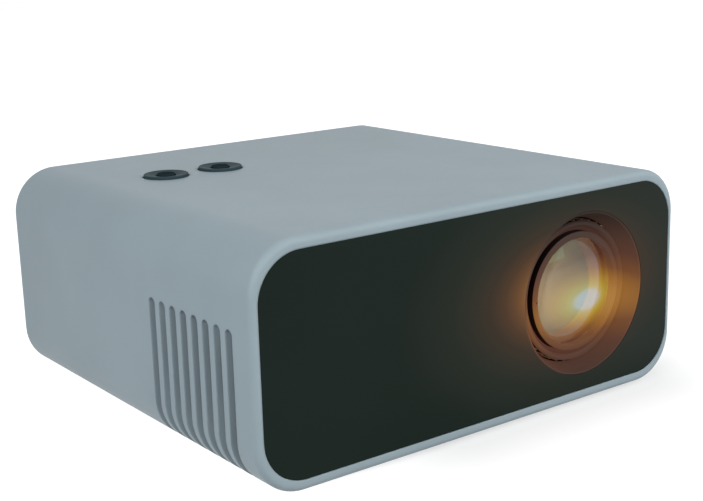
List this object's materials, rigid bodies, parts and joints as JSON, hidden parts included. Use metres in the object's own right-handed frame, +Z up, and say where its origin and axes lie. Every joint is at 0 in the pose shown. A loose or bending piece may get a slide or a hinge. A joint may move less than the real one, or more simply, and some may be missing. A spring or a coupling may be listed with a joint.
{
  "type": "projector with disc player",
  "caption": "Tabletop video projector with a focusing lens at the front, key rings on top, and a disc drive whose tray slides out at the rear.",
  "frame": {"origin": "middle of the footprint, on the surface that the feet stand on", "axes": "+X towards the lens's side as seen from the front is the wider way across, -Y is where the lens looks, +Y is where the disc tray leaves, +Z is up"},
  "size_m": [0.24, 0.2206, 0.107],
  "materials": {
    "shell_plastic": "fine satin moulded plastic, light blue-grey",
    "black_gloss": "glossy black acrylic",
    "black_matte": "fine textured black plastic",
    "black_engine": "dull black filled plastic",
    "foot_rubber": "soft black rubber",
    "steel": "zinc-plated steel",
    "brass": "turned brass",
    "glass": "coated optical glass",
    "acrylic_sheet": "clear ringed lens sheet",
    "lcd_glass": "dark display glass",
    "aluminium": "plain extruded aluminium",
    "circuit_green": "green lacquered circuit board",
    "grey_plastic": "natural grey engineering plastic",
    "filter_foam": "dark open foam in a thin frame",
    "cone_paper": "pressed black cone",
    "key_gloss": "dark polished key plastic",
    "receiver_red": "dark red infrared window"
  },
  "bodies": {
    "housing": {"main_shell": "shell_plastic", "base_plate": "shell_plastic", "front_panel": "black_gloss", "rear_panel": "black_matte", "rubber_feet": "foot_rubber", "housing_screws": "steel", "tripod_insert": "brass", "dust_filter": "filter_foam", "remote_receiver": "receiver_red", "lens_funnel": "black_gloss", "lens_tube": "black_engine", "engine_lower": "black_engine", "engine_upper": "black_engine", "field_lens_sheet": "acrylic_sheet", "lcd_panel": "lcd_glass", "collimator_sheet": "acrylic_sheet", "heat_glass": "glass", "condenser_lens": "glass", "led_module": "aluminium", "heat_sink": "aluminium", "fan_frame": "black_matte", "drive_case": "steel", "drive_cover": "steel", "key_holder": "grey_plastic", "key_board": "circuit_green", "main_board": "circuit_green", "video_port": "steel", "data_port": "steel", "audio_jacks": "black_matte", "dc_inlet": "black_matte", "speaker_frame": "steel", "speaker_magnet": "steel"},
    "focus_ring": {"focus_ring": "black_matte"},
    "lens_barrel": {"lens_barrel": "black_engine", "lens_retainer": "black_matte", "front_lens": "glass", "middle_lens": "glass", "rear_lens": "glass"},
    "fan_rotor": {"fan_impeller": "black_matte"},
    "tray": {"disc_tray": "black_matte", "tray_bezel": "black_matte", "spindle_motor": "steel", "guide_rods": "steel", "sled_motor": "steel"},
    "turntable": {"turntable": "grey_plastic"},
    "pickup": {"pickup_sled": "grey_plastic"},
    "lead_screw": {"lead_screw": "steel"},
    "eject_button": {"eject_button": "black_matte"},
    "rail_left": {"tray_rail_left": "steel"},
    "rail_right": {"tray_rail_right": "steel"},
    "navigation_spider": {"navigation_spider": "grey_plastic"},
    "navigation_ring": {"navigation_ring": "key_gloss"},
    "navigation_button": {"navigation_button": "key_gloss"},
    "playback_spider": {"playback_spider": "grey_plastic"},
    "playback_ring": {"playback_ring": "key_gloss"},
    "playback_button": {"playback_button": "key_gloss"},
    "tilt_pad": {"tilt_foot_pad": "foot_rubber"},
    "tilt_screw": {"tilt_foot_screw": "black_matte"},
    "speaker_cone": {"speaker_cone": "cone_paper"}
  },
  "joints": [
    {"name": "focus_turn", "type": "hinge", "parent": "housing", "child": "focus_ring", "pos_m": [0.06, -0.09025, 0.05325], "axis": [0, 1, 0], "range_deg": [-50.01, 50.01]},
    {"name": "lens_focus", "type": "slide", "parent": "housing", "child": "lens_barrel", "axis": [0, 1, 0], "range_m": [-0.003, 0.003]},
    {"name": "fan_spin", "type": "hinge", "parent": "housing", "child": "fan_rotor", "pos_m": [0.06, 0.09945, 0.05325], "axis": [0, 1, 0], "continuous": true},
    {"name": "tray_slide", "type": "slide", "parent": "housing", "child": "tray", "axis": [0, 1, 0], "range_m": [0, 0.125]},
    {"name": "rail_left_slide", "type": "slide", "parent": "housing", "child": "rail_left", "axis": [0, 1, 0], "range_m": [0, 0.0625]},
    {"name": "rail_right_slide", "type": "slide", "parent": "housing", "child": "rail_right", "axis": [0, 1, 0], "range_m": [0, 0.0625]},
    {"name": "turntable_spin", "type": "hinge", "parent": "tray", "child": "turntable", "pos_m": [-0.044, 0.04205, 0.034], "axis": [0, 0, 1], "continuous": true},
    {"name": "pickup_slide", "type": "slide", "parent": "tray", "child": "pickup", "axis": [0, -1, 0], "range_m": [0, 0.031]},
    {"name": "lead_screw_turn", "type": "hinge", "parent": "tray", "child": "lead_screw", "pos_m": [-0.02, 0.02205, 0.0303], "axis": [0, 1, 0], "continuous": true},
    {"name": "eject_press", "type": "slide", "parent": "tray", "child": "eject_button", "axis": [0, -1, 0], "range_m": [0, 0.0008], "stiffness_N_per_m": 1200, "springref_m": -0.0002},
    {"name": "tilt_extend", "type": "slide", "parent": "housing", "child": "tilt_pad", "axis": [0, 0, -1], "range_m": [0, 0.012]},
    {"name": "tilt_screw_turn", "type": "hinge", "parent": "tilt_pad", "child": "tilt_screw", "pos_m": [0, -0.076, 0.008], "axis": [0, 0, -1], "continuous": true},
    {"name": "speaker_move", "type": "slide", "parent": "housing", "child": "speaker_cone", "axis": [1, 0, 0], "range_m": [-0.001, 0.001], "stiffness_N_per_m": 1500},
    {"name": "navigation_rock_sideways", "type": "hinge", "parent": "housing", "child": "navigation_spider", "pos_m": [-0.0698, 0.04175, 0.0986], "axis": [0, 1, 0], "range_deg": [-2, 2], "stiffness_Nm_per_rad": 0.5},
    {"name": "navigation_rock_fore_aft", "type": "hinge", "parent": "navigation_spider", "child": "navigation_ring", "pos_m": [-0.0698, 0.04175, 0.0986], "axis": [1, 0, 0], "range_deg": [-2, 2], "stiffness_Nm_per_rad": 0.5},
    {"name": "navigation_press", "type": "slide", "parent": "housing", "child": "navigation_button", "axis": [0, 0, -1], "range_m": [0, 0.0006], "stiffness_N_per_m": 1500, "springref_m": -0.0003},
    {"name": "playback_rock_sideways", "type": "hinge", "parent": "housing", "child": "playback_spider", "pos_m": [-0.0395, 0.04175, 0.0986], "axis": [0, 1, 0], "range_deg": [-2, 2], "stiffness_Nm_per_rad": 0.5},
    {"name": "playback_rock_fore_aft", "type": "hinge", "parent": "playback_spider", "child": "playback_ring", "pos_m": [-0.0395, 0.04175, 0.0986], "axis": [1, 0, 0], "range_deg": [-2, 2], "stiffness_Nm_per_rad": 0.5},
    {"name": "playback_press", "type": "slide", "parent": "housing", "child": "playback_button", "axis": [0, 0, -1], "range_m": [0, 0.0006], "stiffness_N_per_m": 1500, "springref_m": -0.0003}
  ],
  "couplings": [
    {"joint": "focus_turn", "follows": "lens_focus", "rad_per_m": -290.89},
    {"joint": "rail_left_slide", "follows": "tray_slide", "ratio": 0.5},
    {"joint": "rail_right_slide", "follows": "tray_slide", "ratio": 0.5},
    {"joint": "lead_screw_turn", "follows": "pickup_slide", "rad_per_m": 2094.4},
    {"joint": "tilt_screw_turn", "follows": "tilt_extend", "rad_per_m": 6283.2}
  ]
}
